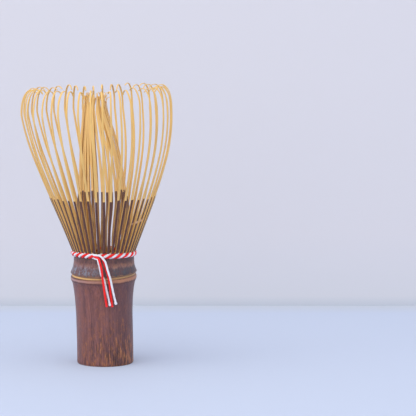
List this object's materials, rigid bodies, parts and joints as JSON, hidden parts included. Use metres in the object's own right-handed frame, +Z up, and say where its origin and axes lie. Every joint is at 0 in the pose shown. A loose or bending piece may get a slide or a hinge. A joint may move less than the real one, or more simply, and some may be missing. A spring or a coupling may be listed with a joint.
{
  "type": "bamboo tea whisk",
  "caption": "Bamboo tea whisk: a hollow noded handle whose wall is split into a spread ring of curled outer tines and a core of inner tines, bound with twisted thread.",
  "frame": {"origin": "on the table under the middle of the whole whisk's box; the handle's own axis stands 2.5 mm from it towards +X, because the brush leans towards -X", "axes": "+Z up along the handle, from its foot to the tips; front (the tied thread ends) towards -Y; +X to the right seen from the front"},
  "size_m": [0.0616, 0.0619, 0.1141],
  "materials": {
    "smoked_bamboo": "satin",
    "tine_bamboo": "satin",
    "core_bamboo": "satin",
    "red_thread": "matte",
    "white_thread": "matte"
  },
  "bodies": {
    "culm": {"handle": "smoked_bamboo", "thread_ring": "red_thread", "thread_knot": "white_thread", "thread_end_white_left": "white_thread", "thread_end_red_left": "red_thread", "thread_end_red_right": "red_thread", "thread_end_white_right": "white_thread"},
    "outer_tine_01": {"outer_tine_01": "tine_bamboo"},
    "outer_tine_02": {"outer_tine_02": "tine_bamboo"},
    "outer_tine_03": {"outer_tine_03": "tine_bamboo"},
    "outer_tine_04": {"outer_tine_04": "tine_bamboo"},
    "outer_tine_05": {"outer_tine_05": "tine_bamboo"},
    "outer_tine_06": {"outer_tine_06": "tine_bamboo"},
    "outer_tine_07": {"outer_tine_07": "tine_bamboo"},
    "outer_tine_08": {"outer_tine_08": "tine_bamboo"},
    "outer_tine_09": {"outer_tine_09": "tine_bamboo"},
    "outer_tine_10": {"outer_tine_10": "tine_bamboo"},
    "outer_tine_11": {"outer_tine_11": "tine_bamboo"},
    "outer_tine_12": {"outer_tine_12": "tine_bamboo"},
    "outer_tine_13": {"outer_tine_13": "tine_bamboo"},
    "outer_tine_14": {"outer_tine_14": "tine_bamboo"},
    "outer_tine_15": {"outer_tine_15": "tine_bamboo"},
    "outer_tine_16": {"outer_tine_16": "tine_bamboo"},
    "outer_tine_17": {"outer_tine_17": "tine_bamboo"},
    "outer_tine_18": {"outer_tine_18": "tine_bamboo"},
    "outer_tine_19": {"outer_tine_19": "tine_bamboo"},
    "outer_tine_20": {"outer_tine_20": "tine_bamboo"},
    "outer_tine_21": {"outer_tine_21": "tine_bamboo"},
    "outer_tine_22": {"outer_tine_22": "tine_bamboo"},
    "outer_tine_23": {"outer_tine_23": "tine_bamboo"},
    "outer_tine_24": {"outer_tine_24": "tine_bamboo"},
    "outer_tine_25": {"outer_tine_25": "tine_bamboo"},
    "outer_tine_26": {"outer_tine_26": "tine_bamboo"},
    "outer_tine_27": {"outer_tine_27": "tine_bamboo"},
    "outer_tine_28": {"outer_tine_28": "tine_bamboo"},
    "outer_tine_29": {"outer_tine_29": "tine_bamboo"},
    "outer_tine_30": {"outer_tine_30": "tine_bamboo"},
    "outer_tine_31": {"outer_tine_31": "tine_bamboo"},
    "outer_tine_32": {"outer_tine_32": "tine_bamboo"},
    "outer_tine_33": {"outer_tine_33": "tine_bamboo"},
    "outer_tine_34": {"outer_tine_34": "tine_bamboo"},
    "outer_tine_35": {"outer_tine_35": "tine_bamboo"},
    "outer_tine_36": {"outer_tine_36": "tine_bamboo"},
    "outer_tine_37": {"outer_tine_37": "tine_bamboo"},
    "outer_tine_38": {"outer_tine_38": "tine_bamboo"},
    "outer_tine_39": {"outer_tine_39": "tine_bamboo"},
    "outer_tine_40": {"outer_tine_40": "tine_bamboo"},
    "outer_tine_41": {"outer_tine_41": "tine_bamboo"},
    "outer_tine_42": {"outer_tine_42": "tine_bamboo"},
    "outer_tine_43": {"outer_tine_43": "tine_bamboo"},
    "outer_tine_44": {"outer_tine_44": "tine_bamboo"},
    "inner_tines_1": {"inner_tines_1": "core_bamboo"},
    "inner_tines_2": {"inner_tines_2": "core_bamboo"},
    "inner_tines_3": {"inner_tines_3": "core_bamboo"},
    "inner_tines_4": {"inner_tines_4": "core_bamboo"},
    "inner_tines_5": {"inner_tines_5": "core_bamboo"},
    "inner_tines_6": {"inner_tines_6": "core_bamboo"},
    "inner_tines_7": {"inner_tines_7": "core_bamboo"},
    "inner_tines_8": {"inner_tines_8": "core_bamboo"}
  },
  "joints": [
    {"name": "outer_tine_01_flex", "type": "hinge", "parent": "culm", "child": "outer_tine_01", "pos_m": [0.00291, -0.01159, 0.0454], "axis": [0.9994, 0.0349, 0], "range_deg": [-4, 3], "stiffness_Nm_per_rad": 0.005},
    {"name": "outer_tine_02_flex", "type": "hinge", "parent": "culm", "child": "outer_tine_02", "pos_m": [0.00455, -0.01142, 0.0454], "axis": [0.9843, 0.1768, 0], "range_deg": [-4, 3], "stiffness_Nm_per_rad": 0.005},
    {"name": "outer_tine_03_flex", "type": "hinge", "parent": "culm", "child": "outer_tine_03", "pos_m": [0.00615, -0.01101, 0.0454], "axis": [0.9491, 0.315, 0], "range_deg": [-4, 3], "stiffness_Nm_per_rad": 0.005},
    {"name": "outer_tine_04_flex", "type": "hinge", "parent": "culm", "child": "outer_tine_04", "pos_m": [0.00768, -0.01038, 0.0454], "axis": [0.8946, 0.4469, 0], "range_deg": [-4, 3], "stiffness_Nm_per_rad": 0.005},
    {"name": "outer_tine_05_flex", "type": "hinge", "parent": "culm", "child": "outer_tine_05", "pos_m": [0.00911, -0.00953, 0.0454], "axis": [0.8219, 0.5697, 0], "range_deg": [-4, 3], "stiffness_Nm_per_rad": 0.005},
    {"name": "outer_tine_06_flex", "type": "hinge", "parent": "culm", "child": "outer_tine_06", "pos_m": [0.0104, -0.0085, 0.0454], "axis": [0.7324, 0.6808, 0], "range_deg": [-4, 3], "stiffness_Nm_per_rad": 0.005},
    {"name": "outer_tine_07_flex", "type": "hinge", "parent": "culm", "child": "outer_tine_07", "pos_m": [0.01153, -0.00729, 0.0454], "axis": [0.6281, 0.7781, 0], "range_deg": [-4, 3], "stiffness_Nm_per_rad": 0.005},
    {"name": "outer_tine_08_flex", "type": "hinge", "parent": "culm", "child": "outer_tine_08", "pos_m": [0.01247, -0.00593, 0.0454], "axis": [0.511, 0.8596, 0], "range_deg": [-4, 3], "stiffness_Nm_per_rad": 0.005},
    {"name": "outer_tine_09_flex", "type": "hinge", "parent": "culm", "child": "outer_tine_09", "pos_m": [0.01321, -0.00445, 0.0454], "axis": [0.3834, 0.9236, 0], "range_deg": [-4, 3], "stiffness_Nm_per_rad": 0.005},
    {"name": "outer_tine_10_flex", "type": "hinge", "parent": "culm", "child": "outer_tine_10", "pos_m": [0.01374, -0.00288, 0.0454], "axis": [0.2481, 0.9687, 0], "range_deg": [-4, 3], "stiffness_Nm_per_rad": 0.005},
    {"name": "outer_tine_11_flex", "type": "hinge", "parent": "culm", "child": "outer_tine_11", "pos_m": [0.01403, -0.00125, 0.0454], "axis": [0.1077, 0.9942, 0], "range_deg": [-4, 3], "stiffness_Nm_per_rad": 0.005},
    {"name": "outer_tine_12_flex", "type": "hinge", "parent": "culm", "child": "outer_tine_12", "pos_m": [0.01409, 0.0004, 0.0454], "axis": [-0.0349, 0.9994, 0], "range_deg": [-4, 3], "stiffness_Nm_per_rad": 0.005},
    {"name": "outer_tine_13_flex", "type": "hinge", "parent": "culm", "child": "outer_tine_13", "pos_m": [0.01392, 0.00205, 0.0454], "axis": [-0.1768, 0.9843, 0], "range_deg": [-4, 3], "stiffness_Nm_per_rad": 0.005},
    {"name": "outer_tine_14_flex", "type": "hinge", "parent": "culm", "child": "outer_tine_14", "pos_m": [0.01351, 0.00365, 0.0454], "axis": [-0.315, 0.9491, 0], "range_deg": [-4, 3], "stiffness_Nm_per_rad": 0.005},
    {"name": "outer_tine_15_flex", "type": "hinge", "parent": "culm", "child": "outer_tine_15", "pos_m": [0.01288, 0.00518, 0.0454], "axis": [-0.4469, 0.8946, 0], "range_deg": [-4, 3], "stiffness_Nm_per_rad": 0.005},
    {"name": "outer_tine_16_flex", "type": "hinge", "parent": "culm", "child": "outer_tine_16", "pos_m": [0.01203, 0.00661, 0.0454], "axis": [-0.5697, 0.8219, 0], "range_deg": [-4, 3], "stiffness_Nm_per_rad": 0.005},
    {"name": "outer_tine_17_flex", "type": "hinge", "parent": "culm", "child": "outer_tine_17", "pos_m": [0.011, 0.0079, 0.0454], "axis": [-0.6808, 0.7324, 0], "range_deg": [-4, 3], "stiffness_Nm_per_rad": 0.005},
    {"name": "outer_tine_18_flex", "type": "hinge", "parent": "culm", "child": "outer_tine_18", "pos_m": [0.00979, 0.00903, 0.0454], "axis": [-0.7781, 0.6281, 0], "range_deg": [-4, 3], "stiffness_Nm_per_rad": 0.005},
    {"name": "outer_tine_19_flex", "type": "hinge", "parent": "culm", "child": "outer_tine_19", "pos_m": [0.00843, 0.00997, 0.0454], "axis": [-0.8596, 0.511, 0], "range_deg": [-4, 3], "stiffness_Nm_per_rad": 0.005},
    {"name": "outer_tine_20_flex", "type": "hinge", "parent": "culm", "child": "outer_tine_20", "pos_m": [0.00695, 0.01071, 0.0454], "axis": [-0.9236, 0.3834, 0], "range_deg": [-4, 3], "stiffness_Nm_per_rad": 0.005},
    {"name": "outer_tine_21_flex", "type": "hinge", "parent": "culm", "child": "outer_tine_21", "pos_m": [0.00538, 0.01124, 0.0454], "axis": [-0.9687, 0.2481, 0], "range_deg": [-4, 3], "stiffness_Nm_per_rad": 0.005},
    {"name": "outer_tine_22_flex", "type": "hinge", "parent": "culm", "child": "outer_tine_22", "pos_m": [0.00375, 0.01153, 0.0454], "axis": [-0.9942, 0.1077, 0], "range_deg": [-4, 3], "stiffness_Nm_per_rad": 0.005},
    {"name": "outer_tine_23_flex", "type": "hinge", "parent": "culm", "child": "outer_tine_23", "pos_m": [0.0021, 0.01159, 0.0454], "axis": [-0.9994, -0.0349, 0], "range_deg": [-4, 3], "stiffness_Nm_per_rad": 0.005},
    {"name": "outer_tine_24_flex", "type": "hinge", "parent": "culm", "child": "outer_tine_24", "pos_m": [0.00045, 0.01142, 0.0454], "axis": [-0.9843, -0.1768, 0], "range_deg": [-4, 3], "stiffness_Nm_per_rad": 0.005},
    {"name": "outer_tine_25_flex", "type": "hinge", "parent": "culm", "child": "outer_tine_25", "pos_m": [-0.00115, 0.01101, 0.0454], "axis": [-0.9491, -0.315, 0], "range_deg": [-4, 3], "stiffness_Nm_per_rad": 0.005},
    {"name": "outer_tine_26_flex", "type": "hinge", "parent": "culm", "child": "outer_tine_26", "pos_m": [-0.00268, 0.01038, 0.0454], "axis": [-0.8946, -0.4469, 0], "range_deg": [-4, 3], "stiffness_Nm_per_rad": 0.005},
    {"name": "outer_tine_27_flex", "type": "hinge", "parent": "culm", "child": "outer_tine_27", "pos_m": [-0.00411, 0.00953, 0.0454], "axis": [-0.8219, -0.5697, 0], "range_deg": [-4, 3], "stiffness_Nm_per_rad": 0.005},
    {"name": "outer_tine_28_flex", "type": "hinge", "parent": "culm", "child": "outer_tine_28", "pos_m": [-0.0054, 0.0085, 0.0454], "axis": [-0.7324, -0.6808, 0], "range_deg": [-4, 3], "stiffness_Nm_per_rad": 0.005},
    {"name": "outer_tine_29_flex", "type": "hinge", "parent": "culm", "child": "outer_tine_29", "pos_m": [-0.00653, 0.00729, 0.0454], "axis": [-0.6281, -0.7781, 0], "range_deg": [-4, 3], "stiffness_Nm_per_rad": 0.005},
    {"name": "outer_tine_30_flex", "type": "hinge", "parent": "culm", "child": "outer_tine_30", "pos_m": [-0.00747, 0.00593, 0.0454], "axis": [-0.511, -0.8596, 0], "range_deg": [-4, 3], "stiffness_Nm_per_rad": 0.005},
    {"name": "outer_tine_31_flex", "type": "hinge", "parent": "culm", "child": "outer_tine_31", "pos_m": [-0.00821, 0.00445, 0.0454], "axis": [-0.3834, -0.9236, 0], "range_deg": [-4, 3], "stiffness_Nm_per_rad": 0.005},
    {"name": "outer_tine_32_flex", "type": "hinge", "parent": "culm", "child": "outer_tine_32", "pos_m": [-0.00874, 0.00288, 0.0454], "axis": [-0.2481, -0.9687, 0], "range_deg": [-4, 3], "stiffness_Nm_per_rad": 0.005},
    {"name": "outer_tine_33_flex", "type": "hinge", "parent": "culm", "child": "outer_tine_33", "pos_m": [-0.00903, 0.00125, 0.0454], "axis": [-0.1077, -0.9942, 0], "range_deg": [-4, 3], "stiffness_Nm_per_rad": 0.005},
    {"name": "outer_tine_34_flex", "type": "hinge", "parent": "culm", "child": "outer_tine_34", "pos_m": [-0.00909, -0.0004, 0.0454], "axis": [0.0349, -0.9994, 0], "range_deg": [-4, 3], "stiffness_Nm_per_rad": 0.005},
    {"name": "outer_tine_35_flex", "type": "hinge", "parent": "culm", "child": "outer_tine_35", "pos_m": [-0.00892, -0.00205, 0.0454], "axis": [0.1768, -0.9843, 0], "range_deg": [-4, 3], "stiffness_Nm_per_rad": 0.005},
    {"name": "outer_tine_36_flex", "type": "hinge", "parent": "culm", "child": "outer_tine_36", "pos_m": [-0.00851, -0.00365, 0.0454], "axis": [0.315, -0.9491, 0], "range_deg": [-4, 3], "stiffness_Nm_per_rad": 0.005},
    {"name": "outer_tine_37_flex", "type": "hinge", "parent": "culm", "child": "outer_tine_37", "pos_m": [-0.00788, -0.00518, 0.0454], "axis": [0.4469, -0.8946, 0], "range_deg": [-4, 3], "stiffness_Nm_per_rad": 0.005},
    {"name": "outer_tine_38_flex", "type": "hinge", "parent": "culm", "child": "outer_tine_38", "pos_m": [-0.00703, -0.00661, 0.0454], "axis": [0.5697, -0.8219, 0], "range_deg": [-4, 3], "stiffness_Nm_per_rad": 0.005},
    {"name": "outer_tine_39_flex", "type": "hinge", "parent": "culm", "child": "outer_tine_39", "pos_m": [-0.006, -0.0079, 0.0454], "axis": [0.6808, -0.7324, 0], "range_deg": [-4, 3], "stiffness_Nm_per_rad": 0.005},
    {"name": "outer_tine_40_flex", "type": "hinge", "parent": "culm", "child": "outer_tine_40", "pos_m": [-0.00479, -0.00903, 0.0454], "axis": [0.7781, -0.6281, 0], "range_deg": [-4, 3], "stiffness_Nm_per_rad": 0.005},
    {"name": "outer_tine_41_flex", "type": "hinge", "parent": "culm", "child": "outer_tine_41", "pos_m": [-0.00343, -0.00997, 0.0454], "axis": [0.8596, -0.511, 0], "range_deg": [-4, 3], "stiffness_Nm_per_rad": 0.005},
    {"name": "outer_tine_42_flex", "type": "hinge", "parent": "culm", "child": "outer_tine_42", "pos_m": [-0.00195, -0.01071, 0.0454], "axis": [0.9236, -0.3834, 0], "range_deg": [-4, 3], "stiffness_Nm_per_rad": 0.005},
    {"name": "outer_tine_43_flex", "type": "hinge", "parent": "culm", "child": "outer_tine_43", "pos_m": [-0.00038, -0.01124, 0.0454], "axis": [0.9687, -0.2481, 0], "range_deg": [-4, 3], "stiffness_Nm_per_rad": 0.005},
    {"name": "outer_tine_44_flex", "type": "hinge", "parent": "culm", "child": "outer_tine_44", "pos_m": [0.00125, -0.01153, 0.0454], "axis": [0.9942, -0.1077, 0], "range_deg": [-4, 3], "stiffness_Nm_per_rad": 0.005},
    {"name": "inner_tines_1_flex", "type": "hinge", "parent": "culm", "child": "inner_tines_1", "pos_m": [0.00656, -0.00892, 0.0454], "axis": [0.91, 0.4147, 0], "range_deg": [0, 3], "stiffness_Nm_per_rad": 0.008},
    {"name": "inner_tines_2_flex", "type": "hinge", "parent": "culm", "child": "inner_tines_2", "pos_m": [0.01168, -0.00343, 0.0454], "axis": [0.3502, 0.9367, 0], "range_deg": [0, 3], "stiffness_Nm_per_rad": 0.008},
    {"name": "inner_tines_3_flex", "type": "hinge", "parent": "culm", "child": "inner_tines_3", "pos_m": [0.01142, 0.00406, 0.0454], "axis": [-0.4147, 0.91, 0], "range_deg": [0, 3], "stiffness_Nm_per_rad": 0.008},
    {"name": "inner_tines_4_flex", "type": "hinge", "parent": "culm", "child": "inner_tines_4", "pos_m": [0.00593, 0.00918, 0.0454], "axis": [-0.9367, 0.3502, 0], "range_deg": [0, 3], "stiffness_Nm_per_rad": 0.008},
    {"name": "inner_tines_5_flex", "type": "hinge", "parent": "culm", "child": "inner_tines_5", "pos_m": [-0.00156, 0.00892, 0.0454], "axis": [-0.91, -0.4147, 0], "range_deg": [0, 3], "stiffness_Nm_per_rad": 0.008},
    {"name": "inner_tines_6_flex", "type": "hinge", "parent": "culm", "child": "inner_tines_6", "pos_m": [-0.00668, 0.00343, 0.0454], "axis": [-0.3502, -0.9367, 0], "range_deg": [0, 3], "stiffness_Nm_per_rad": 0.008},
    {"name": "inner_tines_7_flex", "type": "hinge", "parent": "culm", "child": "inner_tines_7", "pos_m": [-0.00642, -0.00406, 0.0454], "axis": [0.4147, -0.91, 0], "range_deg": [0, 3], "stiffness_Nm_per_rad": 0.008},
    {"name": "inner_tines_8_flex", "type": "hinge", "parent": "culm", "child": "inner_tines_8", "pos_m": [-0.00093, -0.00918, 0.0454], "axis": [0.9367, -0.3502, 0], "range_deg": [0, 3], "stiffness_Nm_per_rad": 0.008}
  ],
  "couplings": [
    {"joint": "outer_tine_02_flex", "follows": "outer_tine_01_flex", "ratio": 1},
    {"joint": "outer_tine_03_flex", "follows": "outer_tine_01_flex", "ratio": 1},
    {"joint": "outer_tine_04_flex", "follows": "outer_tine_01_flex", "ratio": 1},
    {"joint": "outer_tine_05_flex", "follows": "outer_tine_01_flex", "ratio": 1},
    {"joint": "outer_tine_06_flex", "follows": "outer_tine_01_flex", "ratio": 1},
    {"joint": "outer_tine_07_flex", "follows": "outer_tine_01_flex", "ratio": 1},
    {"joint": "outer_tine_08_flex", "follows": "outer_tine_01_flex", "ratio": 1},
    {"joint": "outer_tine_09_flex", "follows": "outer_tine_01_flex", "ratio": 1},
    {"joint": "outer_tine_10_flex", "follows": "outer_tine_01_flex", "ratio": 1},
    {"joint": "outer_tine_11_flex", "follows": "outer_tine_01_flex", "ratio": 1},
    {"joint": "outer_tine_12_flex", "follows": "outer_tine_01_flex", "ratio": 1},
    {"joint": "outer_tine_13_flex", "follows": "outer_tine_01_flex", "ratio": 1},
    {"joint": "outer_tine_14_flex", "follows": "outer_tine_01_flex", "ratio": 1},
    {"joint": "outer_tine_15_flex", "follows": "outer_tine_01_flex", "ratio": 1},
    {"joint": "outer_tine_16_flex", "follows": "outer_tine_01_flex", "ratio": 1},
    {"joint": "outer_tine_17_flex", "follows": "outer_tine_01_flex", "ratio": 1},
    {"joint": "outer_tine_18_flex", "follows": "outer_tine_01_flex", "ratio": 1},
    {"joint": "outer_tine_19_flex", "follows": "outer_tine_01_flex", "ratio": 1},
    {"joint": "outer_tine_20_flex", "follows": "outer_tine_01_flex", "ratio": 1},
    {"joint": "outer_tine_21_flex", "follows": "outer_tine_01_flex", "ratio": 1},
    {"joint": "outer_tine_22_flex", "follows": "outer_tine_01_flex", "ratio": 1},
    {"joint": "outer_tine_23_flex", "follows": "outer_tine_01_flex", "ratio": 1},
    {"joint": "outer_tine_24_flex", "follows": "outer_tine_01_flex", "ratio": 1},
    {"joint": "outer_tine_25_flex", "follows": "outer_tine_01_flex", "ratio": 1},
    {"joint": "outer_tine_26_flex", "follows": "outer_tine_01_flex", "ratio": 1},
    {"joint": "outer_tine_27_flex", "follows": "outer_tine_01_flex", "ratio": 1},
    {"joint": "outer_tine_28_flex", "follows": "outer_tine_01_flex", "ratio": 1},
    {"joint": "outer_tine_29_flex", "follows": "outer_tine_01_flex", "ratio": 1},
    {"joint": "outer_tine_30_flex", "follows": "outer_tine_01_flex", "ratio": 1},
    {"joint": "outer_tine_31_flex", "follows": "outer_tine_01_flex", "ratio": 1},
    {"joint": "outer_tine_32_flex", "follows": "outer_tine_01_flex", "ratio": 1},
    {"joint": "outer_tine_33_flex", "follows": "outer_tine_01_flex", "ratio": 1},
    {"joint": "outer_tine_34_flex", "follows": "outer_tine_01_flex", "ratio": 1},
    {"joint": "outer_tine_35_flex", "follows": "outer_tine_01_flex", "ratio": 1},
    {"joint": "outer_tine_36_flex", "follows": "outer_tine_01_flex", "ratio": 1},
    {"joint": "outer_tine_37_flex", "follows": "outer_tine_01_flex", "ratio": 1},
    {"joint": "outer_tine_38_flex", "follows": "outer_tine_01_flex", "ratio": 1},
    {"joint": "outer_tine_39_flex", "follows": "outer_tine_01_flex", "ratio": 1},
    {"joint": "outer_tine_40_flex", "follows": "outer_tine_01_flex", "ratio": 1},
    {"joint": "outer_tine_41_flex", "follows": "outer_tine_01_flex", "ratio": 1},
    {"joint": "outer_tine_42_flex", "follows": "outer_tine_01_flex", "ratio": 1},
    {"joint": "outer_tine_43_flex", "follows": "outer_tine_01_flex", "ratio": 1},
    {"joint": "outer_tine_44_flex", "follows": "outer_tine_01_flex", "ratio": 1},
    {"joint": "inner_tines_2_flex", "follows": "inner_tines_1_flex", "ratio": 1},
    {"joint": "inner_tines_3_flex", "follows": "inner_tines_1_flex", "ratio": 1},
    {"joint": "inner_tines_4_flex", "follows": "inner_tines_1_flex", "ratio": 1},
    {"joint": "inner_tines_5_flex", "follows": "inner_tines_1_flex", "ratio": 1},
    {"joint": "inner_tines_6_flex", "follows": "inner_tines_1_flex", "ratio": 1},
    {"joint": "inner_tines_7_flex", "follows": "inner_tines_1_flex", "ratio": 1},
    {"joint": "inner_tines_8_flex", "follows": "inner_tines_1_flex", "ratio": 1}
  ]
}
